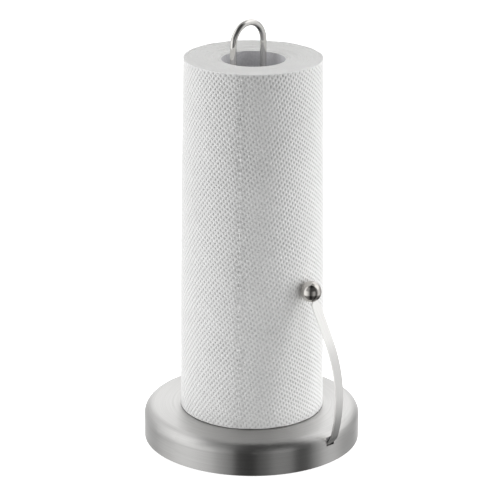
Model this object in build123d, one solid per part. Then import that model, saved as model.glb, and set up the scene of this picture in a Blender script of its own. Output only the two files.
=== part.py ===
from build123d import *
from math import cos, radians, sin, tan
import os

# Paper towel holder, millimetres. Z is up and the origin is the centre of the face that rests
# on the table. The sprung arm stands on -Y; the spindle's two legs stand side by side along X.

# Base cover
COVER_R = 84.0
COVER_TOP = 26.6
COVER_RIM = 1.0
SHEET = 0.8
SHOULDER_R = 8.0
SLOT_WIDTH = 8.2
SLOT_CUT = 8.0
SLOT_TOP = 22.4
SLOT_BOTTOM = 15.4

# Pad, bottom plate and ballast
PAD_R = 79.5
PAD_TOP = 2.0
PLATE_R = COVER_R - SHEET - 0.1
PLATE_TOP = 4.5
LIP_TOP = 9.0
LIP_THICK = 2.0
BALLAST_R = 70.0
BALLAST_TOP = 15.0
BOSS_R = 34.0
BOSS_TOP = COVER_TOP - SHEET

# Plate screws
PLATE_SCREW_COUNT = 4
PLATE_SCREW_PCR = 52.0
PLATE_SCREW_R = 2.0
PLATE_SCREW_HEAD_R = 4.0
PLATE_SCREW_HEAD_H = 2.0
PLATE_SCREW_END = 12.0

# Spindle
WIRE_R = 2.5
LEG_X = 16.0
LEG_Y = 5.3
SPINDLE_TOP = 333.0
LEG_END = 5.0
COLLAR_R = 4.5
COLLAR_H = 4.0
RECESS_R = 7.0
RECESS_TOP = 10.5
WASHER_R = 5.5
WASHER_H = 1.0
NUT_FLATS = 8.0
NUT_H = 4.0

# Arm strap, drawn in (out, up): out is -Y and up is Z. It tapers from the base to the tip.
STRAP_FOOT_W = 7.2
STRAP_TIP_W = 9.0
STRAP_T = 1.2
BULGE = (92.0, 54.8)
LOWER_ARC_R = 115.0
LOWER_LEAN = 15.5
BEND_R = 10.0
TAIL_LEAN = 40.0
TAIL = 15.6
UPPER_ARC_R = 95.0
UPPER_LEAN = 28.5
BALL_R = 8.1
BALL_GAP = 0.3
TIP_IN_BALL = 0.6

# Hinge inside the base, at (out, up)
PIVOT = (77.5, 20.2)
PIN_R = 1.5
PIN_HALF = 12.0
BUSH_GAP = 0.05
BUSH_WALL = 0.6
KNUCKLE_R = 3.4
KNUCKLE_W = 7.2
SEAT_START = 6.0
KNUCKLE_FOOT = 2.0
LEVER_OUT = 70.0
LEVER_T = 3.0
RIVET_R = 1.0
RIVET_HEAD_R = 1.8
RIVET_HEAD_H = 0.7
RIVET_DEPTH = 2.8
RIVET_PLACES = (9.4, 13.4)

# Hinge bracket
EAR_X = 9.0
EAR_T = 1.5
EAR_R = 3.2
FOOT_T = 1.5
FOOT_FRONT = 70.0
FOOT_BACK = 56.0
FOOT_SCREW_X = 5.0
FOOT_SCREW_OUT = 60.0
FOOT_SCREW_R = 1.5
FOOT_SCREW_HEAD_R = 2.8
FOOT_SCREW_HEAD_H = 1.6
FOOT_SCREW_END = 8.0
CLIP_T = 0.6
CLIP_R = 3.0
CLIP_GROOVE_R = 1.15

# Torsion spring
SPRING_WIRE_R = 0.45
COIL_R = 3.0
COIL_PITCH = 1.0
COIL_START_X = 8.4
SPRING_GAP = 0.05
COIL_START_ANGLE = -45.0
COIL_TURNS = 3.375
COIL_SIDES = 8
COIL_CORNER_R = 0.9 * COIL_R
SPRING_ARM = 6.5
SPRING_LEG = 13.4
SPRING_BEND_R = 1.3

# Paper roll
ROLL_R = 53.4
ROLL_HEIGHT = 278.0
ROLL_BOTTOM = COVER_TOP + 0.3
ROLL_TOP = ROLL_BOTTOM + ROLL_HEIGHT
CORE_INNER_R = 24.0
CORE_T = 1.0
SPIN_GAP = 0.06
SHEET_T = 0.5
SHEET_EDGE_ANGLE = 214.0
SHEET_SWEEP = 359.0

# In this plane x runs outwards along the arm and y runs up.
SIDE = Plane(origin=(0, 0, 0), x_dir=(0, -1, 0), z_dir=(-1, 0, 0))


def disc(radius, low, high):
    """Upright cylinder on the Z axis between two heights."""
    return Pos(0, 0, low) * Cylinder(radius, high - low, align=(Align.CENTER, Align.CENTER, Align.MIN))


def ring(outer, inner, low, high):
    """Upright tube on the Z axis."""
    return disc(outer, low, high) - disc(inner, low, high)


def slab(sketch, width, x=0):
    """Push a sketch drawn in (out, up) to a plate centred on x."""
    return Pos(x, 0, 0) * extrude(SIDE * sketch, width / 2, both=True)


def cross_rod(radius, low_x, high_x):
    """Cylinder along the hinge's axis."""
    return slab(Pos(*PIVOT) * Circle(radius), high_x - low_x, (low_x + high_x) / 2)


def on_legs(shape):
    """A copy of a shape on each spindle leg."""
    return [Pos(side * LEG_X, LEG_Y, 0) * shape for side in (-1, 1)]


def cut(body, tools):
    """Take each tool away from the body."""
    for tool in tools:
        body = body - tool
    return body


# ---- base ----


def base_cover():
    """Spun shell: flat top, rounded shoulder, upright wall, with the arm slot and leg holes."""

    def bell(outer, top, shoulder):
        return fillet(disc(outer, COVER_RIM, top).edges().group_by(Axis.Z)[-1], shoulder)

    shell = bell(COVER_R, COVER_TOP, SHOULDER_R)
    shell -= bell(COVER_R - SHEET, COVER_TOP - SHEET, SHOULDER_R - SHEET)
    slot = Pos(0, -COVER_R, (SLOT_BOTTOM + SLOT_TOP) / 2)
    shell -= slot * Box(SLOT_WIDTH, SLOT_CUT, SLOT_TOP - SLOT_BOTTOM)
    return cut(shell, on_legs(disc(WIRE_R, COVER_TOP - 2, COVER_TOP + 1)))


def nonslip_pad():
    return disc(PAD_R, 0, PAD_TOP)


def plate_screw_places():
    return PolarLocations(PLATE_SCREW_PCR, PLATE_SCREW_COUNT, start_angle=45)


def plate_screws():
    """Countersunk screws that hold the bottom plate to the ballast."""
    head = Cone(PLATE_SCREW_HEAD_R, PLATE_SCREW_R, PLATE_SCREW_HEAD_H)
    screw = Pos(0, 0, PAD_TOP + PLATE_SCREW_HEAD_H / 2) * head
    screw += disc(PLATE_SCREW_R, PAD_TOP, PLATE_SCREW_END)
    return [place * screw for place in plate_screw_places()]


def bottom_plate():
    """Moulded plate with an upstanding lip that centres the cover."""
    plate = disc(PLATE_R, PAD_TOP, PLATE_TOP) + ring(PLATE_R, PLATE_R - LIP_THICK, PLATE_TOP, LIP_TOP)
    return cut(plate, plate_screws())


def ballast_disc():
    """Cast disc with a boss under the cover, recessed below for the spindle nuts."""
    casting = disc(BALLAST_R, PLATE_TOP, BALLAST_TOP) + disc(BOSS_R, BALLAST_TOP, BOSS_TOP)
    casting = cut(casting, on_legs(disc(RECESS_R, PLATE_TOP, RECESS_TOP)))
    casting = cut(casting, on_legs(disc(WIRE_R, PLATE_TOP, BOSS_TOP)))
    casting = cut(casting, plate_screws())
    return cut(casting, bracket_screws())


# ---- spindle ----


def spindle_loop():
    """Round wire bent to a hairpin with upright legs."""
    bend_z = SPINDLE_TOP - WIRE_R - LEG_X
    left = Line((-LEG_X, LEG_Y, LEG_END), (-LEG_X, LEG_Y, bend_z))
    arch = ThreePointArc((-LEG_X, LEG_Y, bend_z), (0, LEG_Y, bend_z + LEG_X), (LEG_X, LEG_Y, bend_z))
    right = Line((LEG_X, LEG_Y, bend_z), (LEG_X, LEG_Y, LEG_END))
    section = Plane(origin=(-LEG_X, LEG_Y, LEG_END), z_dir=(0, 0, 1)) * Circle(WIRE_R)
    return sweep(section, path=Wire([left, arch, right]))


def spindle_collars():
    """Collars pressed on the legs, seated on the cover."""
    collar = disc(COLLAR_R, COVER_TOP, COVER_TOP + COLLAR_H)
    collar = chamfer(collar.edges().group_by(Axis.Z)[-1], 0.8)
    return on_legs(collar - disc(WIRE_R, COVER_TOP, COVER_TOP + COLLAR_H))


def spindle_washers():
    return on_legs(ring(WASHER_R, WIRE_R, RECESS_TOP - WASHER_H, RECESS_TOP))


def spindle_nuts():
    top = RECESS_TOP - WASHER_H
    hexagon = RegularPolygon(NUT_FLATS / 2, 6, major_radius=False)
    nut = Pos(0, 0, top - NUT_H) * extrude(hexagon, NUT_H)
    return on_legs(nut - disc(WIRE_R, top - NUT_H, top))


# ---- arm ----


def band(start, heading, moves, thickness):
    """Outline of a bent strip. A move is (length, 0) for a run or (radius, degrees) for a left bend."""
    ahead = Vector(cos(radians(heading)), sin(radians(heading)))
    left = Vector(-ahead.Y, ahead.X)
    edges = []
    ends = []
    for offset in (thickness / 2, -thickness / 2):
        point = start + left * offset
        way = ahead
        ends.append(point)
        for size, turn in moves:
            if turn:
                piece = JernArc(point, way, size - offset, turn)
            else:
                piece = Line(point, point + way * size)
            edges.append(piece)
            point = piece @ 1
            way = piece % 1
        ends.append(point)
    edges.append(Line(ends[0], ends[2]))
    edges.append(Line(ends[1], ends[3]))
    return make_face(Wire(edges))


def arc_end(radius, lean, way):
    """End of the arc that leaves the bulge upwards (way 1) or downwards (way -1)."""
    angle = radians(lean)
    return Vector(BULGE[0] - radius * (1 - cos(angle)), BULGE[1] + way * radius * sin(angle))


def along_tail(distance, outward=0.0):
    """Point on the straight tail below the tight bend, moved outwards across the strap."""
    low, high = radians(LOWER_LEAN), radians(TAIL_LEAN)
    bend = Vector(cos(low) - cos(high), sin(high) - sin(low)) * BEND_R
    start = arc_end(LOWER_ARC_R, LOWER_LEAN, -1) - bend
    out = start.X - distance * sin(high) + outward * cos(high)
    up = start.Y - distance * cos(high) - outward * sin(high)
    return Vector(out, up)


def ball_place():
    """The ball sits in line with the strap's straight upper end, just clear of the roll."""
    end = arc_end(UPPER_ARC_R, UPPER_LEAN, 1)
    out = ROLL_R + BALL_GAP + BALL_R
    return Vector(out, end.Y + (end.X - out) / tan(radians(UPPER_LEAN)))


def arm_blank():
    """The bent strap before its rivet holes, tapered in front view, with a rounded tip."""
    end_run = (ball_place() - arc_end(UPPER_ARC_R, UPPER_LEAN, 1)).length - BALL_R + TIP_IN_BALL
    moves = [
        (TAIL, 0),
        (BEND_R, TAIL_LEAN - LOWER_LEAN),
        (LOWER_ARC_R, LOWER_LEAN),
        (UPPER_ARC_R, UPPER_LEAN),
        (end_run, 0),
    ]
    strip = slab(band(along_tail(TAIL), 90 - TAIL_LEAN, moves, STRAP_T), STRAP_TIP_W)
    foot, tip, top = SLOT_BOTTOM, ball_place().Y - BALL_R, ball_place().Y
    half_foot, half_tip = STRAP_FOOT_W / 2, STRAP_TIP_W / 2
    right_side = [(half_foot, 0), (half_foot, foot), (half_tip, tip), (half_tip, top)]
    left_side = [(-x, z) for x, z in reversed(right_side)]
    front = make_face(Polyline(*right_side, *left_side, close=True))
    strip &= extrude(Plane.XZ * front, 2 * BULGE[0], both=True)
    tip_corners = strip.edges().filter_by(lambda edge: abs(edge.length - STRAP_T) < 0.01)
    return fillet(tip_corners.sort_by(Axis.Z)[-2:], half_tip - 0.3)


def strap_rivets():
    """Round-headed rivets across the strap into the knuckle."""
    rivets = []
    for distance in RIVET_PLACES:
        seat = along_tail(distance, STRAP_T / 2)
        outward = (0, -cos(radians(TAIL_LEAN)), -sin(radians(TAIL_LEAN)))
        plane = Plane(origin=SIDE.from_local_coords(seat), z_dir=outward)
        shank = extrude(plane * Circle(RIVET_R), -(STRAP_T + RIVET_DEPTH))
        head = extrude(plane * Circle(RIVET_HEAD_R), RIVET_HEAD_H)
        head = chamfer(head.edges().sort_by(lambda edge: (edge.center() - plane.origin).length)[-1], 0.3)
        rivets.append(shank + head)
    return rivets


def arm_strap():
    return cut(arm_blank(), strap_rivets())


def arm_ball():
    """Ball with a shallow notch that the strap's tip is brazed into."""
    centre = SIDE.from_local_coords(ball_place())
    return Pos(centre) * Sphere(BALL_R) - arm_blank()


def arm_knuckle():
    """Cast block: bored barrel, seat for the strap and a lever for the spring."""
    seat_top = along_tail(SEAT_START, -STRAP_T / 2)
    seat_end = along_tail(TAIL, -STRAP_T / 2)
    foot = along_tail(TAIL, -STRAP_T / 2 - KNUCKLE_FOOT)
    wedge = Polyline(Vector(*PIVOT), seat_top, seat_end, foot, close=True)
    block = make_hull((Pos(*PIVOT) * Circle(KNUCKLE_R)).edges() + wedge.edges())
    lever_top = PIVOT[1] + COIL_R - SPRING_WIRE_R - SPRING_GAP
    lever = Pos((LEVER_OUT + PIVOT[0]) / 2, lever_top - LEVER_T / 2)
    profile = block + lever * Rectangle(PIVOT[0] - LEVER_OUT, LEVER_T)
    knuckle = slab(profile, KNUCKLE_W)
    knuckle -= cross_rod(PIN_R + BUSH_GAP + BUSH_WALL, -KNUCKLE_W, KNUCKLE_W)
    return cut(knuckle, strap_rivets())


def hinge_bush():
    """Plain bush pressed into the knuckle and running on the pin."""
    half = KNUCKLE_W / 2 + 0.4
    bore = PIN_R + BUSH_GAP
    return cross_rod(bore + BUSH_WALL, -half, half) - cross_rod(bore, -half, half)


# ---- hinge bracket ----


def bracket_screws():
    """Pan-headed screws that hold the bracket on the ballast."""
    head_low = BALLAST_TOP + FOOT_T
    screw = disc(FOOT_SCREW_HEAD_R, head_low, head_low + FOOT_SCREW_HEAD_H)
    screw = chamfer(screw.edges().group_by(Axis.Z)[-1], 0.5)
    screw += disc(FOOT_SCREW_R, FOOT_SCREW_END, head_low)
    return [Pos(side * FOOT_SCREW_X, -FOOT_SCREW_OUT, 0) * screw for side in (-1, 1)]


def hinge_bracket():
    """Folded channel: a foot on the ballast and two ears that carry the pin."""
    width = 2 * (EAR_X + EAR_T)
    foot_depth = FOOT_FRONT - FOOT_BACK
    foot_place = Pos((FOOT_FRONT + FOOT_BACK) / 2, BALLAST_TOP + FOOT_T / 2)
    foot = foot_place * Rectangle(foot_depth, FOOT_T)
    ear = make_hull((Pos(*PIVOT) * Circle(EAR_R)).edges() + foot.edges())
    bracket = slab(foot, width)
    for side in (-1, 1):
        bracket += slab(ear, EAR_T, side * (EAR_X + EAR_T / 2))
    bracket -= cross_rod(PIN_R, -width, width)
    return cut(bracket, bracket_screws())


def clip_low_x():
    return EAR_X + EAR_T + 0.05


def hinge_pin():
    """Pin with a groove near each end for its clip."""
    pin = cross_rod(PIN_R, -PIN_HALF, PIN_HALF)
    for side in (-1, 1):
        ends = sorted((side * clip_low_x(), side * (clip_low_x() + CLIP_T)))
        pin -= cross_rod(PIN_R, *ends) - cross_rod(CLIP_GROOVE_R, *ends)
    return pin


def pin_clips():
    """Open spring clips in the pin's grooves."""
    gap = Pos(PIVOT[0], PIVOT[1] - CLIP_R) * Rectangle(2 * CLIP_GROOVE_R, 2 * CLIP_R)
    clip = Pos(*PIVOT) * (Circle(CLIP_R) - Circle(CLIP_GROOVE_R)) - gap
    return [slab(clip, CLIP_T, side * (clip_low_x() + CLIP_T / 2)) for side in (-1, 1)]


def arm_spring():
    """Double torsion spring: two coils round the pin, a bridge on the lever, two legs on the ballast."""
    turn = radians(COIL_START_ANGLE)
    coil_plane = Plane(
        origin=(COIL_START_X, -PIVOT[0], PIVOT[1]),
        x_dir=(0, -cos(turn), sin(turn)),
        z_dir=(-1, 0, 0),
    )
    step = 360 / COIL_SIDES
    count = round(COIL_TURNS * COIL_SIDES)
    height = COIL_PITCH * COIL_TURNS
    reach = COIL_R / cos(radians(step / 2))
    points = [Vector(COIL_R, -SPRING_LEG, 0)]
    for i in range(count):
        points.append(Vector(reach, 0, height * (i + 0.5) / count).rotate(Axis.Z, step * (i + 0.5)))
    points.append(Vector(COIL_R, SPRING_ARM, height).rotate(Axis.Z, step * count))
    points = [coil_plane.from_local_coords(p) for p in points]
    points.append(Vector(0, points[-1].Y, points[-1].Z))
    bends = [COIL_CORNER_R] * count + [SPRING_BEND_R]
    path = FilletPolyline(*points, radius=bends)
    half = sweep(Plane(origin=path @ 0, z_dir=path % 0) * Circle(SPRING_WIRE_R), path=path)
    return half + mirror(half, about=Plane.YZ)


# ---- paper roll ----


def roll_core():
    return ring(CORE_INNER_R + CORE_T, CORE_INNER_R, ROLL_BOTTOM, ROLL_TOP)


def paper_roll():
    """The wound paper under the outermost sheet."""
    return ring(ROLL_R - SHEET_T, CORE_INNER_R + CORE_T + SPIN_GAP, ROLL_BOTTOM, ROLL_TOP)


def outer_sheet():
    """The outermost sheet, ending in a free edge."""
    height = ROLL_TOP - ROLL_BOTTOM
    base_align = (Align.NONE, Align.NONE, Align.MIN)
    whole = Cylinder(ROLL_R, height, arc_size=SHEET_SWEEP, align=base_align)
    sheet = whole - Cylinder(ROLL_R - SHEET_T, height, align=base_align)
    return Pos(0, 0, ROLL_BOTTOM) * Rot(0, 0, SHEET_EDGE_ANGLE) * sheet


NODES = {
    "base_cover": base_cover,
    "bottom_plate": bottom_plate,
    "nonslip_pad": nonslip_pad,
    "ballast_disc": ballast_disc,
    "plate_screws": plate_screws,
    "spindle_loop": spindle_loop,
    "spindle_collars": spindle_collars,
    "spindle_washers": spindle_washers,
    "spindle_nuts": spindle_nuts,
    "hinge_bracket": hinge_bracket,
    "bracket_screws": bracket_screws,
    "hinge_pin": hinge_pin,
    "pin_clips": pin_clips,
    "arm_spring": arm_spring,
    "arm_strap": arm_strap,
    "strap_rivets": strap_rivets,
    "arm_knuckle": arm_knuckle,
    "hinge_bush": hinge_bush,
    "arm_ball": arm_ball,
    "roll_core": roll_core,
    "paper_roll": paper_roll,
    "outer_sheet": outer_sheet,
}


def main():
    os.makedirs("parts", exist_ok=True)
    for name, make in NODES.items():
        shape = make()
        if isinstance(shape, list):
            shape = Compound(children=[Solid(one.solid().wrapped) for one in shape])
        export_step(shape, f"parts/{name}.step")


main()
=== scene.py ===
import math

import bpy
import numpy as np
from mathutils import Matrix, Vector


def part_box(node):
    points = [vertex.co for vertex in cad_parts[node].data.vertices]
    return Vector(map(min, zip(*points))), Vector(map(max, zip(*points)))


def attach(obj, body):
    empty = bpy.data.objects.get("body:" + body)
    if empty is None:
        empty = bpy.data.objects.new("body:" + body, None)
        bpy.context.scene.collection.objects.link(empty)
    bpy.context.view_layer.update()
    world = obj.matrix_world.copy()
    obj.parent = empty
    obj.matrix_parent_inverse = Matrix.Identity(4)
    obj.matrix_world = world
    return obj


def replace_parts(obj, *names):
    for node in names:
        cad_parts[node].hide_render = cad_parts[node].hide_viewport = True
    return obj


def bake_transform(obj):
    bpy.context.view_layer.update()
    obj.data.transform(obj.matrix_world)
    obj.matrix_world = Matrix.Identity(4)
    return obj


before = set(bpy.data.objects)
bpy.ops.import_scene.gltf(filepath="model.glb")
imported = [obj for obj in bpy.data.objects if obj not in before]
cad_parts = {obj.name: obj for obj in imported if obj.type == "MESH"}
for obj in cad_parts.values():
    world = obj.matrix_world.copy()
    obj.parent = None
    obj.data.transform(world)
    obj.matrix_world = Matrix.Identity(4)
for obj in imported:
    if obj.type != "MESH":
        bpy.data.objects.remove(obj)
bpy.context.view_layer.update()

FULL_TURN = 2 * math.pi
WHITE = (1, 1, 1, 1)

# Camera, in degrees and metres
CAMERA_AZIMUTH = -45.72
CAMERA_HEIGHT_ANGLE = 19.13
CAMERA_DISTANCE = 1.801
CAMERA_TARGET_SIDE = -0.00186
CAMERA_TARGET_HEIGHT = 0.15247
CAMERA_ROLL = 0.26
CAMERA_LENS = 168.95
CAMERA_SENSOR = 36.0
CAMERA_NEAR = 0.01

# Studio light round the object: degrees from the camera's side, brightness low down and higher up
STUDIO_RING = (
    (-180, 1.10, 1.25),
    (-150, 0.62, 0.80),
    (-125, 0.58, 0.95),
    (-100, 0.90, 1.20),
    (-80, 1.15, 1.25),
    (-68, 1.20, 0.95),
    (-56, 1.12, 0.42),
    (-45, 0.97, 0.36),
    (-34, 0.62, 0.32),
    (-23, 0.42, 0.20),
    (-14, 0.09, 0.10),
    (0, 0.07, 0.06),
    (12, 0.20, 0.06),
    (28, 0.43, 0.08),
    (40, 0.41, 0.08),
    (51, 0.11, 0.08),
    (61, 0.12, 0.10),
    (74, 0.45, 0.30),
    (84, 0.78, 1.15),
    (96, 0.82, 1.35),
    (115, 0.52, 1.30),
    (138, 0.46, 1.10),
    (180, 1.10, 1.25),
)
RING_LOW = 1
RING_HIGH = 2
RING_BRIGHTEST = 1.4

# Where the light changes with height. A height is a direction's Z, from -1 straight down to 1 straight up.
RING_HEIGHTS = (0.12, 0.45)
UNDER_HEIGHTS = (-0.65, -0.36)
OVERHEAD_HEIGHTS = (0.74, 0.95)
SOFT_HEIGHTS = (-0.25, 0.25)

# Shares of the studio light that mirrors show: all round, from below, and from straight above
MIRROR_SHARE = 1.18
UNDER_LIGHT = 0.2
OVERHEAD = 0.3

# Shares of it that light soft surfaces: from behind, from the camera's side, from below and from above.
# AHEAD_FADE is where the camera's side starts and where it is in full, 0 being sideways and 1 at the camera.
SOFT_BEHIND = 0.42
SOFT_AHEAD = 0.45
SOFT_BELOW = 1.1
SOFT_ABOVE = 1.22
AHEAD_FADE = (0.4, 0.9)

# Even light that polished surfaces pass on to the paper and the floor
FOOT_BOUNCE = 1.0

# Softboxes: degrees from the camera's side, distance, height of the middle, width, height, brightness
SOFTBOXES = (
    (48, 1.3, 0.15, 0.8, 1.0, 1.25),
    (94, 1.3, 0.15, 0.8, 1.1, 3.1),
    (-80, 1.3, 0.15, 0.8, 1.1, 1.6),
    (6, 0.32, 0.04, 0.26, 0.08, 1.6),
)

# Table top, which reaches past the edges of the picture
FLOOR_SIZE = 8.0
FLOOR_COLOUR = (0.8, 0.8, 0.8, 1)
FLOOR_ROUGHNESS = 0.9
FLOOR_GLOW = 0.85

# Faces that meet at more degrees than this keep a crisp edge
SHARP_EDGE = 55.0

# Dimples of the embossed paper: spacing round and up, depth, the share that it varies by, fade at the sheet's
# ends, depth of the shader's bump, and how many dimples a row climbs in a turn
EMBOSS_ACROSS = 0.0043
EMBOSS_UP = 0.00415
EMBOSS_DEPTH = 0.00075
EMBOSS_VARIES = 0.12
EMBOSS_FADE = 0.0012
EMBOSS_BUMP = 0.0003
EMBOSS_RISE = 11.5

# The waves that shape a dimple: how much slimmer and taller they make it, the levels where it starts to sink
# and where it is full deep, and how far painted shade darkens its floor
DIMPLE_SLIM = 1.0
DIMPLE_TALL = 0.5
DIMPLE_RIM = -1.0
DIMPLE_FLOOR = 0.9
DIMPLE_PAINTED_SHADE = 0.38

# Grid steps to each dimple
STEPS_ACROSS = 6
STEPS_UP = 6

# How far the paper stands outside its CAD cylinder at the roll's top and foot, and how late the change comes
TAPER_TOP = -0.0011
TAPER_BOTTOM = 0.0022
TAPER_POWER = 1.8

# Dent under the ball, which presses on the roll's -Y side
BALL_TURN = -math.pi / 2
DENT_DEPTH = 0.0015
DENT_R = 0.0065

# Outermost sheet: its wall, the gap under its foot, and how uneven its face and its ends are
SHEET_WALL = 0.0014
FOOT_GAP = 0.0004
SHEET_WAVE = 0.00012
SHEET_RAGGED = 0.00012

# Its free edge: degrees round the roll, wobble and width in grid steps, lift off the paper, ripple as a share
# of the lift, and how far the paper beside it is pressed in
EDGE_ANGLE = 214.0
EDGE_WOBBLE = 0.5
EDGE_COLUMNS = 5
EDGE_LIFT = 0.0007
EDGE_RIPPLE = 0.3
EDGE_DROP = 0.0004

# Card core, sunk below the paper's top, with a rounded rim and a gap to the paper round it
CORE_BORE = 0.0242
CORE_WALL = 0.0009
CORE_SUNK = 0.0011
CORE_ROUND = 0.0003
CORE_GAP = 0.00006

# The card's strip: its climb in a turn, the seam's half width as a share of that, the seam's darkness, the
# range of its fibres, and the share of the colour range they take; the rest, up to the palest, is the painted
# highlight on the top rim
CARD_STRIP = 0.07
CARD_SEAM = 0.012
CARD_SEAM_DARK = 0.35
CARD_FIBRES = (0.25, 0.7)
CARD_PALEST = 0.4

# Roll's ends: pitch, grooves and unevenness of the plies, swell and rounded rim, and how the top dishes
PLY_PITCH = 0.0005
PLY_GROOVE = 0.00012
PLY_UNEVEN = 0.00008
PLY_SEED = 21
END_SWELL = 0.00022
END_RIM_DROP = 0.0001
END_RIM_POWER = 8
END_DISH_POWER = 1.5
END_SIDES = 360

# How far the winding reaches into the sheet's wall at the top, and stays clear of it at the foot
TOP_TUCK = 0.0002
FOOT_CLEAR = 0.0001

# Slow random unevenness: its number of waves, and the most that one of them has across and upward
NOISE_WAVES = 9
WAVES_ACROSS = 6
WAVES_UP = 2.5

# Each finish: its darkest and lightest colour, and its lowest and highest roughness
FINISHES = {
    "brushed_cover": ((0.49, 0.486, 0.478, 1), (0.58, 0.576, 0.568, 1), 0.27, 0.34),
    "polished_wire": ((0.56, 0.55, 0.53, 1), (0.74, 0.73, 0.71, 1), 0.028, 0.0455),
    "polished_ball": ((0.5, 0.48, 0.455, 1), (0.68, 0.66, 0.63, 1), 0.04, 0.065),
    "strap_steel": ((0.78, 0.775, 0.76, 1), (0.86, 0.855, 0.84, 1), 0.3, 0.4),
    "zinc_hardware": ((0.5, 0.51, 0.53, 1), (0.66, 0.67, 0.69, 1), 0.25, 0.4),
    "spring_steel": ((0.3, 0.3, 0.31, 1), (0.46, 0.46, 0.47, 1), 0.25, 0.38),
    "cast_ballast": ((0.1, 0.1, 0.105, 1), (0.2, 0.2, 0.205, 1), 0.5, 0.75),
    "cast_knuckle": ((0.42, 0.42, 0.43, 1), (0.56, 0.56, 0.57, 1), 0.35, 0.5),
    "black_plate": ((0.012, 0.012, 0.013, 1), (0.03, 0.03, 0.032, 1), 0.35, 0.5),
    "nylon_bush": ((0.68, 0.67, 0.63, 1), (0.76, 0.75, 0.71, 1), 0.4, 0.55),
    "pad_foam": ((0.014, 0.014, 0.015, 1), (0.035, 0.035, 0.037, 1), 0.8, 0.95),
    # core_card: its lightest colour is reached only in the painted highlight on its top rim
    "core_card": ((0.62, 0.62, 0.65, 1), (0.97, 0.97, 0.96, 1), 0.8, 0.95),
    "towel_paper": ((0.85, 0.85, 0.84, 1), (0.98, 0.98, 0.97, 1), 0.85, 1.0),
    # towel_sheet: its darker colours appear only in the painted shade of its dimples
    "towel_sheet": ((0.6, 0.6, 0.595, 1), (0.92, 0.92, 0.915, 1), 0.85, 1.0),
}

# Wiping marks per metre on the polished pieces
POLISHED = {"polished_wire": 500, "polished_ball": 350}

# Mottled finishes: mottling per metre, and the depth of the finer grain over it
METALS = {
    "zinc_hardware": (700, 0.00002),
    "spring_steel": (900, 0.00001),
    "cast_ballast": (160, 0.00035),
    "cast_knuckle": (500, 0.00008),
}
COATS = {
    "black_plate": (300, 0.00004),
    "nylon_bush": (500, 0.00002),
    "pad_foam": (600, 0.0002),
}

# Noise lies mostly between these levels, and the streaks of brushed steel closer to the middle
NOISE_RANGE = (0.3, 0.7)
STREAK_RANGE = (0.35, 0.65)


# ---- camera ----


def camera_axes():
    """The camera's side, up and backward directions before its roll."""
    turn, climb = math.radians(CAMERA_AZIMUTH), math.radians(CAMERA_HEIGHT_ANGLE)
    side = Vector((math.cos(turn), math.sin(turn), 0))
    back = Vector(
        (
            math.sin(turn) * math.cos(climb),
            -math.cos(turn) * math.cos(climb),
            math.sin(climb),
        )
    )
    return side, back.cross(side), back


def make_camera():
    side, up, back = camera_axes()
    target = side * CAMERA_TARGET_SIDE + Vector((0, 0, CAMERA_TARGET_HEIGHT))
    data = bpy.data.cameras.new("camera")
    data.lens = CAMERA_LENS
    data.sensor_width = CAMERA_SENSOR
    data.clip_start = CAMERA_NEAR
    camera = bpy.data.objects.new("camera", data)
    bpy.context.scene.collection.objects.link(camera)
    roll = math.radians(CAMERA_ROLL)
    rolled_side = side * math.cos(roll) + up * math.sin(roll)
    rolled_up = up * math.cos(roll) - side * math.sin(roll)
    matrix = camera.matrix_world.copy()
    for column, axis in enumerate((rolled_side, rolled_up, back)):
        for row in range(3):
            matrix[row][column] = axis[row]
    matrix.translation = target + back * CAMERA_DISTANCE
    camera.matrix_world = matrix
    bpy.context.scene.camera = camera


# ---- shader nodes ----


def add(tree, kind, inputs=None, **settings):
    """A new shader node, with its settings, and each input given a value or joined to a socket."""
    made = tree.nodes.new("ShaderNode" + kind)
    for name, value in settings.items():
        setattr(made, name, value)
    for name, value in (inputs or {}).items():
        if isinstance(value, bpy.types.NodeSocket):
            tree.links.new(value, made.inputs[name])
        else:
            made.inputs[name].default_value = value
    return made


def maths(tree, operation, first, second=0.0, third=0.0):
    return add(tree, "Math", {0: first, 1: second, 2: third}, operation=operation).outputs[0]


def times(tree, first, second):
    return maths(tree, "MULTIPLY", first, second)


def remap(tree, value, low, high, new_low, new_high, kind="LINEAR"):
    inputs = {"Value": value, "From Min": low, "From Max": high, "To Min": new_low, "To Max": new_high}
    return add(tree, "MapRange", inputs, interpolation_type=kind).outputs[0]


def mix(tree, share, first, second, **settings):
    """Runs from first to second as share goes from 0 to 1."""
    return add(tree, "Mix", {"Factor": share, "A": first, "B": second}, **settings).outputs["Result"]


def weighted(tree, first, share, second):
    """First times share, plus second times what is left of 1."""
    return maths(tree, "MULTIPLY_ADD", first, share, times(tree, second, 1 - share))


def noise(tree, place, scale=1.0, detail=3.0, roughness=0.5):
    inputs = {"Vector": place, "Scale": scale, "Detail": detail, "Roughness": roughness}
    return add(tree, "TexNoise", inputs).outputs[0]


def stretched(tree, place, x, y, z):
    return add(tree, "Mapping", {"Vector": place, "Scale": (x, y, z)}).outputs[0]


def ring_place(tree, place, outward, around, upward):
    """Coordinates for marks that run round the Z axis: distance out, turn and height, each scaled."""
    x, y, z = add(tree, "SeparateXYZ", {0: place}).outputs
    out = maths(tree, "SQRT", maths(tree, "ADD", times(tree, x, x), times(tree, y, y)))
    turn = maths(tree, "ARCTAN2", y, x)
    parts = {0: times(tree, out, outward), 1: times(tree, turn, around), 2: times(tree, z, upward)}
    return add(tree, "CombineXYZ", parts).outputs[0]


# ---- floor and light ----


def studio_ring(tree, along, column):
    """Brightness round the horizon, from one column of the table. The ramp's ends meet straight behind."""
    ring = add(tree, "ValToRGB", {"Fac": along})
    ramp = ring.color_ramp
    ramp.interpolation = "EASE"
    while len(ramp.elements) < len(STUDIO_RING):
        ramp.elements.new(0.5)
    for element, row in zip(ramp.elements, STUDIO_RING):
        element.position = row[0] / 360 + 0.5
        level = row[column] / RING_BRIGHTEST
        element.color = (level, level, level, 1)
    return ring.outputs["Color"]


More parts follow.
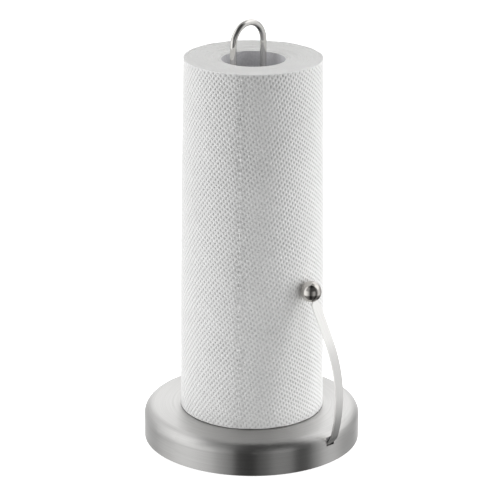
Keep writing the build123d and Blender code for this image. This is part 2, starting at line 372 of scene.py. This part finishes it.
def ring_light(tree, side, ahead, climb):
    """The studio's brightness in a direction, which goes from the low ring to the high ring with height."""
    angle = maths(tree, "ARCTAN2", side, ahead)
    along = maths(tree, "MULTIPLY_ADD", angle, 1 / FULL_TURN, 0.5)
    low, high = studio_ring(tree, along, RING_LOW), studio_ring(tree, along, RING_HIGH)
    share = remap(tree, climb, *RING_HEIGHTS, 0.0, 1.0, "SMOOTHSTEP")
    return times(tree, mix(tree, share, low, high), RING_BRIGHTEST)


def mirrored_light(tree, level, climb):
    """The light that mirrors show, which is weaker from below and from straight above."""
    below = remap(tree, climb, *UNDER_HEIGHTS, UNDER_LIGHT, 1.0, "SMOOTHSTEP")
    above = remap(tree, climb, *OVERHEAD_HEIGHTS, MIRROR_SHARE, OVERHEAD * MIRROR_SHARE, "SMOOTHSTEP")
    return times(tree, times(tree, level, below), above)


def soft_light(tree, level, climb, ahead):
    """The light on soft surfaces, which is weaker from straight behind and from the camera's side."""
    balance = remap(tree, climb, *SOFT_HEIGHTS, SOFT_BELOW, SOFT_ABOVE, "SMOOTHSTEP")
    behind = remap(tree, ahead, -1.0, 0.0, SOFT_BEHIND, 1.0)
    front = remap(tree, ahead, *AHEAD_FADE, 1.0, SOFT_AHEAD)
    return times(tree, times(tree, level, balance), times(tree, behind, front))


def make_studio():
    """A studio all round: bright at the sides and behind, dark on the camera's side, on a white backdrop."""
    world = bpy.data.worlds.new("studio")
    bpy.context.scene.world = world
    world.use_nodes = True
    tree = world.node_tree
    tree.nodes.clear()
    place = add(tree, "TexCoord").outputs["Generated"]
    turn = Vector((0, 0, -math.radians(CAMERA_AZIMUTH)))
    turned = add(tree, "Mapping", {"Vector": place, "Rotation": turn}).outputs[0]
    side, away, climb = add(tree, "SeparateXYZ", {0: turned}).outputs
    ahead = times(tree, away, -1.0)
    level = ring_light(tree, side, ahead, climb)
    mirrored = mirrored_light(tree, level, climb)
    soft = soft_light(tree, level, climb, ahead)
    paths = add(tree, "LightPath").outputs
    lit = mix(tree, paths["Is Diffuse Ray"], mirrored, soft)
    scattered = maths(tree, "MINIMUM", paths["Diffuse Depth"], 1.0)
    bounced = maths(tree, "SUBTRACT", scattered, paths["Is Diffuse Ray"])
    lit = mix(tree, bounced, lit, FOOT_BOUNCE)
    light = add(tree, "Background", {"Color": lit})
    backdrop = add(tree, "Background", {"Color": WHITE})
    both = add(tree, "MixShader", {0: paths["Is Camera Ray"], 1: light.outputs[0], 2: backdrop.outputs[0]})
    out = add(tree, "OutputWorld")
    tree.links.new(both.outputs[0], out.inputs["Surface"])


def make_softboxes():
    """Large soft lights at the sides of the camera's view, and a small low one for the roll's foot."""
    for number, (degrees, distance, height, width, tall, level) in enumerate(SOFTBOXES):
        data = bpy.data.lights.new(f"softbox_{number}", "AREA")
        data.shape = "RECTANGLE"
        data.size = width
        data.size_y = tall
        data.energy = level * math.pi * width * tall
        light = bpy.data.objects.new(f"softbox_{number}", data)
        turn = math.radians(CAMERA_AZIMUTH + degrees)
        way = Vector((math.sin(turn), -math.cos(turn), 0))
        light.location = way * distance + Vector((0, 0, height))
        light.rotation_euler = way.to_track_quat("Z", "Y").to_euler()
        light.visible_glossy = False
        light.visible_camera = False
        bpy.context.scene.collection.objects.link(light)


def make_floor():
    """A white table top with a glow of its own, so it shows little shadow. It adds no light to the object."""
    half = FLOOR_SIZE / 2
    mesh = bpy.data.meshes.new("floor")
    corners = [(-half, -half, 0), (half, -half, 0), (half, half, 0), (-half, half, 0)]
    mesh.from_pydata(corners, [], [(0, 1, 2, 3)])
    floor = bpy.data.objects.new("floor", mesh)
    bpy.context.scene.collection.objects.link(floor)
    material, shader = new_material("table_white", FLOOR_COLOUR, 0.0)
    shader.inputs["Roughness"].default_value = FLOOR_ROUGHNESS
    shader.inputs["Emission Color"].default_value = WHITE
    shader.inputs["Emission Strength"].default_value = FLOOR_GLOW
    mesh.materials.append(material)
    floor.visible_diffuse = False
    floor.visible_glossy = False
    floor.visible_transmission = False
    floor.visible_shadow = False


# ---- materials ----


def new_material(name, colour, metallic):
    material = bpy.data.materials.new(name)
    material.use_nodes = True
    shader = material.node_tree.nodes["Principled BSDF"]
    shader.inputs["Base Color"].default_value = colour
    shader.inputs["Metallic"].default_value = metallic
    return material, shader


def start_finish(name, metallic):
    """A material in its finish's lightest colour, its parts, and the place that its patterns follow."""
    material, shader = new_material(name, FINISHES[name][1], metallic)
    tree = material.node_tree
    return material, tree, shader, add(tree, "TexCoord").outputs["Object"]


def paint(tree, shader, name, tone, worn):
    """Colour from the finish's dark to its light with tone, and roughness that rises with worn."""
    dark, light, smooth, rough = FINISHES[name]
    tree.links.new(mix(tree, tone, dark, light, data_type="RGBA"), shader.inputs["Base Color"])
    tree.links.new(remap(tree, worn, *NOISE_RANGE, smooth, rough), shader.inputs["Roughness"])


def relief(tree, shader, height, distance, strength):
    bump = add(tree, "Bump", {"Height": height, "Distance": distance, "Strength": strength})
    tree.links.new(bump.outputs[0], shader.inputs["Normal"])


def brushed_round(name):
    """Stainless steel brushed in circles round its axis."""
    material, tree, shader, place = start_finish(name, metallic=1.0)
    fine_place = ring_place(tree, place, outward=5200, around=2.2, upward=5200)
    wide_place = ring_place(tree, place, outward=900, around=1.1, upward=900)
    fine = noise(tree, fine_place, detail=4.0, roughness=0.6)
    wide = noise(tree, wide_place, detail=2.0)
    streaks = weighted(tree, wide, 0.5, fine)
    paint(tree, shader, name, remap(tree, streaks, *STREAK_RANGE, 0, 1), streaks)
    relief(tree, shader, streaks, distance=0.00002, strength=0.25)
    shader.inputs["Anisotropic"].default_value = 0.95
    shader.inputs["Anisotropic Rotation"].default_value = 0.25
    tangent = add(tree, "Tangent", direction_type="RADIAL", axis="Z")
    tree.links.new(tangent.outputs[0], shader.inputs["Tangent"])
    return material


def brushed_along(name):
    """Satin steel strip, brushed along its length."""
    material, tree, shader, place = start_finish(name, metallic=1.0)
    lines = noise(tree, stretched(tree, place, 4200, 120, 120), roughness=0.6)
    wide = noise(tree, stretched(tree, place, 900, 40, 40), detail=2.0)
    streaks = weighted(tree, wide, 0.4, lines)
    paint(tree, shader, name, remap(tree, streaks, *STREAK_RANGE, 0, 1), streaks)
    relief(tree, shader, streaks, distance=0.00001, strength=0.3)
    return material


def polished(name, scale):
    """Bright polished steel with faint wiping marks."""
    material, tree, shader, place = start_finish(name, metallic=1.0)
    marks = noise(tree, stretched(tree, place, 1, 1, 0.25), scale, detail=4.0, roughness=0.6)
    fine = noise(tree, place, scale * 9, detail=2.0)
    haze = weighted(tree, fine, 0.35, marks)
    paint(tree, shader, name, haze, haze)
    relief(tree, shader, haze, distance=0.00001, strength=0.15)
    return material


def mottled(name, scale, depth, metallic, finer, strength):
    """Mottled colour with a finer grain: plated, drawn or cast metal, or a coat, moulding or foam."""
    material, tree, shader, place = start_finish(name, metallic)
    mottle = noise(tree, place, scale, detail=4.0, roughness=0.6)
    grain = noise(tree, place, scale * finer)
    paint(tree, shader, name, remap(tree, mottle, *NOISE_RANGE, 0, 1), mottle)
    relief(tree, shader, grain, depth, strength)
    return material


def wound_card(name):
    """Grey card tube wound from a strip, so a spiral seam climbs round it. Its top rim is painted pale, a
    painted highlight where the rim catches light.
    """
    material, tree, shader, place = start_finish(name, metallic=0.0)
    x, y, z = add(tree, "SeparateXYZ", {0: place}).outputs
    turn = times(tree, maths(tree, "ARCTAN2", y, x), 1 / FULL_TURN)
    climb = maths(tree, "FRACT", maths(tree, "MULTIPLY_ADD", z, 1 / CARD_STRIP, turn))
    from_seam = maths(tree, "ABSOLUTE", maths(tree, "SUBTRACT", climb, 0.5))
    seam = remap(tree, from_seam, 0.0, CARD_SEAM, 1, 0)
    fibre = noise(tree, stretched(tree, place, 1, 1, 0.5), scale=900, detail=5.0, roughness=0.65)
    tone = maths(tree, "SUBTRACT", fibre, times(tree, seam, CARD_SEAM_DARK))
    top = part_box("roll_core")[1].z - CORE_SUNK
    # Painted highlight: the top rim is made paler, standing in for the light it catches
    rim_painted_highlight = remap(tree, z, top - 1.6 * CORE_ROUND, top - CORE_ROUND, 0, 1)
    shown = maths(tree, "ADD", remap(tree, tone, *CARD_FIBRES, 0, CARD_PALEST), rim_painted_highlight)
    paint(tree, shader, name, shown, fibre)
    relief(tree, shader, tone, distance=0.00015, strength=0.6)
    return material


def dimples_around():
    return round(FULL_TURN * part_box("outer_sheet")[1].y / EMBOSS_ACROSS)


def embossed_depth(tree, place):
    """The same staggered oval dimples as the sheet's shape, for the shader."""
    low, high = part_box("outer_sheet")
    x, y, z = add(tree, "SeparateXYZ", {0: place}).outputs
    turn = maths(tree, "SUBTRACT", maths(tree, "ARCTAN2", y, x), math.radians(EDGE_ANGLE))
    turn = maths(tree, "FLOORED_MODULO", turn, FULL_TURN)
    upward = maths(tree, "DIVIDE", maths(tree, "SUBTRACT", z, low.z), EMBOSS_UP)
    lean = maths(tree, "DIVIDE", upward, STEPS_ACROSS)
    across = maths(tree, "MULTIPLY_ADD", turn, dimples_around() / FULL_TURN, lean)
    across = times(tree, across, FULL_TURN)
    upward = maths(tree, "MULTIPLY_ADD", turn, -EMBOSS_RISE / FULL_TURN, upward)
    upward = times(tree, upward, FULL_TURN)
    stretch = maths(tree, "POWER", maths(tree, "ABSOLUTE", maths(tree, "SINE", upward)), 2.0)
    stretch = maths(tree, "MULTIPLY_ADD", stretch, DIMPLE_TALL, 1.0)
    tall = times(tree, maths(tree, "COSINE", upward), stretch)
    waves = times(tree, maths(tree, "COSINE", across), tall)
    side = maths(tree, "POWER", maths(tree, "ABSOLUTE", maths(tree, "SINE", across)), 2.0)
    waves = maths(tree, "SUBTRACT", waves, times(tree, side, DIMPLE_SLIM))
    depth = remap(tree, waves, DIMPLE_RIM, DIMPLE_FLOOR, 0.0, 1.0, "SMOOTHSTEP")
    to_end = maths(tree, "MINIMUM", maths(tree, "SUBTRACT", z, low.z), maths(tree, "SUBTRACT", high.z, z))
    return times(tree, depth, remap(tree, to_end, 0.0, EMBOSS_FADE, 0.0, 1.0))


def towel_paper(name, edge_on):
    """Soft white tissue. The roll's ends show the cut plies as fine rings; its face has painted shade on the
    floors of its dimples.
    """
    material, tree, shader, place = start_finish(name, metallic=0.0)
    fibre = noise(tree, place, scale=2600, detail=5.0, roughness=0.7)
    cloud = noise(tree, place, scale=60)
    tone = weighted(tree, cloud, 0.5, fibre)
    if edge_on:
        rings = ring_place(tree, place, outward=4200, around=1.6, upward=30)
        tone = weighted(tree, noise(tree, rings, roughness=0.6), 0.6, tone)
        paint(tree, shader, name, remap(tree, tone, *NOISE_RANGE, 0, 1), tone)
    else:
        depth = embossed_depth(tree, place)
        clouded = remap(tree, tone, *NOISE_RANGE, 0.85, 1)
        # Painted shade: the colour is darkened by each dimple's depth, standing in for the shade in its
        # hollow
        tone = maths(tree, "SUBTRACT", clouded, times(tree, depth, DIMPLE_PAINTED_SHADE))
        paint(tree, shader, name, tone, tone)
        fibre = maths(tree, "SUBTRACT", times(tree, fibre, 0.2), depth)
    relief(tree, shader, fibre, EMBOSS_BUMP, strength=0.8)
    shader.inputs["Specular IOR Level"].default_value = 0.15
    shader.inputs["Sheen Weight"].default_value = 0.1
    return material


def make_materials():
    makers = {"brushed_cover": brushed_round, "strap_steel": brushed_along, "core_card": wound_card}
    materials = {name: make(name) for name, make in makers.items()}
    for name, scale in POLISHED.items():
        materials[name] = polished(name, scale)
    for name, (scale, depth) in METALS.items():
        materials[name] = mottled(name, scale, depth, metallic=1.0, finer=8, strength=0.5)
    for name, (scale, depth) in COATS.items():
        materials[name] = mottled(name, scale, depth, metallic=0.0, finer=7, strength=0.6)
    for name, edge_on in (("towel_paper", True), ("towel_sheet", False)):
        materials[name] = towel_paper(name, edge_on)
    return materials


def paint_nodes(materials):
    """Gives every CAD node the finish that the record names for it."""
    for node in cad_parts.values():
        for slot in node.material_slots:
            slot.material = materials[slot.material.name.split(".")[0]]


# ---- meshes ----


def smooth_noise(x, y, stretch, seed):
    """A gentle random surface made of a few waves, the same on every run."""
    x, y = x * stretch[0], y * stretch[1]
    rng = np.random.default_rng(seed)
    total = np.zeros_like(x * y, dtype=float)
    for _ in range(NOISE_WAVES):
        across = rng.integers(-WAVES_ACROSS, WAVES_ACROSS + 1)
        upward = rng.uniform(-WAVES_UP, WAVES_UP)
        phase = rng.uniform(0, FULL_TURN)
        total += np.sin(across * x + upward * y * FULL_TURN + phase)
    return total / math.sqrt(NOISE_WAVES)


def grid_faces(rows, columns):
    """Quads over a grid of points that is stored row by row."""
    row, column = np.meshgrid(np.arange(rows - 1), np.arange(columns - 1), indexing="ij")
    first = row * columns + column
    return np.stack([first, first + 1, first + columns + 1, first + columns], -1).reshape(-1, 4).tolist()


def ring_faces(rows, sides):
    """Quads over rows of points that run round the Z axis, where the last row meets the first."""
    row = np.arange(rows + 1)[:, None] % rows * sides
    index = row + np.arange(sides + 1)[None, :] % sides
    corners = [index[:-1, :-1], index[1:, :-1], index[1:, 1:], index[:-1, 1:]]
    return np.stack(corners, -1).reshape(-1, 4).tolist()


def polar_points(radius, turn, z):
    parts = np.broadcast_arrays(radius * np.cos(turn), radius * np.sin(turn), z)
    return np.stack(parts, -1).reshape(-1, 3)


def new_piece(name, points, faces, material):
    mesh = bpy.data.meshes.new(name)
    mesh.from_pydata(points.tolist(), [], faces)
    mesh.update()
    mesh.shade_smooth()
    mesh.set_sharp_from_angle(angle=math.radians(SHARP_EDGE))
    mesh.materials.append(material)
    piece = bpy.data.objects.new(name, mesh)
    bpy.context.scene.collection.objects.link(piece)
    return piece


# ---- the paper roll ----


def embossing(across, upward):
    """Depth of the staggered oval dimples, from 0 between them to 1 at their middles."""
    turn_across, turn_up = FULL_TURN * across, FULL_TURN * upward
    tall = np.cos(turn_up) * (1 + DIMPLE_TALL * np.sin(turn_up) ** 2)
    waves = np.cos(turn_across) * tall - DIMPLE_SLIM * np.sin(turn_across) ** 2
    rise = np.clip((waves - DIMPLE_RIM) / (DIMPLE_FLOOR - DIMPLE_RIM), 0, 1)
    return rise * rise * (3 - 2 * rise)


def taper(height):
    """How far the loosely wound paper stands from a true cylinder, wider at its foot."""
    return TAPER_BOTTOM + (TAPER_TOP - TAPER_BOTTOM) * height**TAPER_POWER


def dent(turn, z):
    """How far the sprung ball presses the soft paper in, around the place where it touches."""
    low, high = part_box("arm_ball")
    aside = (turn - BALL_TURN + math.pi) % FULL_TURN - math.pi
    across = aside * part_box("outer_sheet")[1].y
    away = across**2 + (z - (low.z + high.z) / 2) ** 2
    return DENT_DEPTH * np.exp(-away / DENT_R**2)


def sheet_skin(column, columns):
    """Radius, angle and height of the embossed face at the given columns, which count from the free edge."""
    low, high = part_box("outer_sheet")
    radius, bottom, tall = high.y, low.z, high.z - low.z
    rows = round(tall / EMBOSS_UP * STEPS_UP) + 1
    height = np.linspace(0, 1, rows)[:, None]
    upward = height * tall / EMBOSS_UP
    near_start = np.clip(1 - column / EDGE_COLUMNS, 0, 1)[None, :]
    near_end = np.clip(1 - (columns - column) / EDGE_COLUMNS, 0, 1)[None, :]
    wobble = EDGE_WOBBLE * smooth_noise(height, height, stretch=(23, 6), seed=11)
    turn = column[None, :] + wobble * (near_start + near_end)
    turn = math.radians(EDGE_ANGLE) + turn * FULL_TURN / columns
    fade = np.clip(np.minimum(height, 1 - height) * tall / EMBOSS_FADE, 0, 1)
    across = (column[None, :] + upward) / STEPS_ACROSS
    risen = upward - EMBOSS_RISE * column[None, :] / columns
    varied = 1 - EMBOSS_VARIES + EMBOSS_VARIES * smooth_noise(turn, height, stretch=(1, 3), seed=3)
    skin = radius + taper(height) - EMBOSS_DEPTH * varied * embossing(across, risen) * fade
    skin = skin + SHEET_WAVE * smooth_noise(turn, height, stretch=(1, 2), seed=5)
    ripple = 1 - EDGE_RIPPLE + EDGE_RIPPLE * smooth_noise(height, height, stretch=(9, 4), seed=9)
    skin = skin + EDGE_LIFT * ripple * near_start - EDGE_DROP * near_end
    ragged = SHEET_RAGGED * smooth_noise(turn, height, stretch=(3, 1), seed=13)
    z = bottom + tall * height + (ragged + FOOT_GAP * (1 - height)) * (1 - fade)
    skin = skin - dent(turn, z)
    return skin, turn, z, radius + taper(height) - SHEET_WALL


def sheet_piece(name, first, last, columns, material):
    """One part of the outermost sheet, as a closed wall with an embossed face."""
    column = np.arange(first, last + 1)
    skin, turn, z, back = sheet_skin(column, columns)
    rows, count = skin.shape
    ends = [0, -1]
    face = polar_points(skin, turn, z)
    lining = polar_points(back[ends], turn[ends], z[ends])
    base, top = rows * count, (rows - 1) * count
    faces = grid_faces(rows, count)
    for i in range(count - 1):
        foot, head = base + i, base + count + i
        faces.append([i + 1, i, foot, foot + 1])
        faces.append([top + i, top + i + 1, head + 1, head])
        faces.append([foot + 1, foot, head, head + 1])
    start = [row * count for row in range(rows)]
    end = [row * count + count - 1 for row in reversed(range(rows))]
    faces.append([base, *start, base + count])
    faces.append([base + 2 * count - 1, *end, base + count - 1])
    piece = new_piece(name, np.concatenate([face, lining]), faces, material)
    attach(piece, "paper")
    return piece


def outer_sheet(material):
    """The outermost sheet in two parts, which meet at the free edge and at the perforation behind."""
    columns = dimples_around() * STEPS_ACROSS
    half = columns // 2
    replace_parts(sheet_piece("towel_sheet_outer", 0, half, columns, material), "outer_sheet")
    sheet_piece("towel_sheet_lower", half, columns, columns, material)


def wound_paper(material):
    """The paper under the outermost sheet. Its ends show the cut edges of the plies as rings."""
    low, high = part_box("paper_roll")
    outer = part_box("outer_sheet")[1].y - SHEET_WALL
    inner = CORE_BORE + CORE_WALL + CORE_GAP
    plies = round((outer - inner) / PLY_PITCH)
    radii = np.linspace(inner, outer, plies * 2 + 1)[:, None]
    turn = np.arange(END_SIDES)[None, :] / END_SIDES * FULL_TURN
    share = (radii - inner) / (outer - inner)
    groove = PLY_GROOVE * (np.arange(len(radii)) % 2)[:, None]
    rng = np.random.default_rng(PLY_SEED)
    uneven = np.repeat(rng.normal(0, PLY_UNEVEN, plies + 1), 2)[: len(radii)][:, None]
    swell = END_SWELL * share * smooth_noise(turn, share, stretch=(1, 1.5), seed=31)
    sunk = groove + uneven + END_RIM_DROP * share**END_RIM_POWER - swell
    top_z = high.z - sunk - CORE_SUNK * (1 - share) ** END_DISH_POWER
    foot_z = low.z + FOOT_GAP + sunk
    top_radius = radii + (TAPER_TOP + TOP_TUCK) * share
    foot_radius = radii + (TAPER_BOTTOM - FOOT_CLEAR) * share
    radius = np.concatenate([top_radius, foot_radius[::-1]])
    points = polar_points(radius, turn, np.concatenate([top_z, foot_z[::-1]]))
    piece = new_piece("towel_winding", points, ring_faces(len(radius), END_SIDES), material)
    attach(piece, "paper")
    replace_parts(piece, "paper_roll")


def card_core(material):
    """The card tube that the paper is wound on, a little lower than the paper at its top."""
    low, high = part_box("roll_core")
    bottom, top, outer = low.z, high.z - CORE_SUNK, CORE_BORE + CORE_WALL
    profile = [
        (outer, bottom),
        (outer, top - CORE_ROUND),
        (outer - CORE_ROUND, top),
        (CORE_BORE + CORE_ROUND, top),
        (CORE_BORE, top - CORE_ROUND),
        (CORE_BORE, bottom),
    ]
    turn = np.arange(END_SIDES) / END_SIDES * FULL_TURN
    points = np.concatenate([polar_points(radius, turn, z) for radius, z in profile])
    piece = new_piece("towel_core", points, ring_faces(len(profile), END_SIDES), material)
    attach(piece, "core")
    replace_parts(piece, "roll_core")


# ---- the arm's spring ----


def bending_spring(material):
    """The torsion spring: a copy of the CAD spring in spring steel, which takes the CAD spring's place."""
    spring = bpy.data.objects.new("torsion_spring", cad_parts["arm_spring"].data.copy())
    spring.data.materials.clear()
    spring.data.materials.append(material)
    bpy.context.scene.collection.objects.link(spring)
    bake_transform(spring)
    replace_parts(spring, "arm_spring")


# ---- assembly ----

bpy.context.scene.view_settings.view_transform = "Standard"
make_camera()
make_studio()
make_softboxes()
make_floor()
MATERIALS = make_materials()
paint_nodes(MATERIALS)
outer_sheet(MATERIALS["towel_sheet"])
wound_paper(MATERIALS["towel_paper"])
card_core(MATERIALS["core_card"])
bending_spring(MATERIALS["spring_steel"])
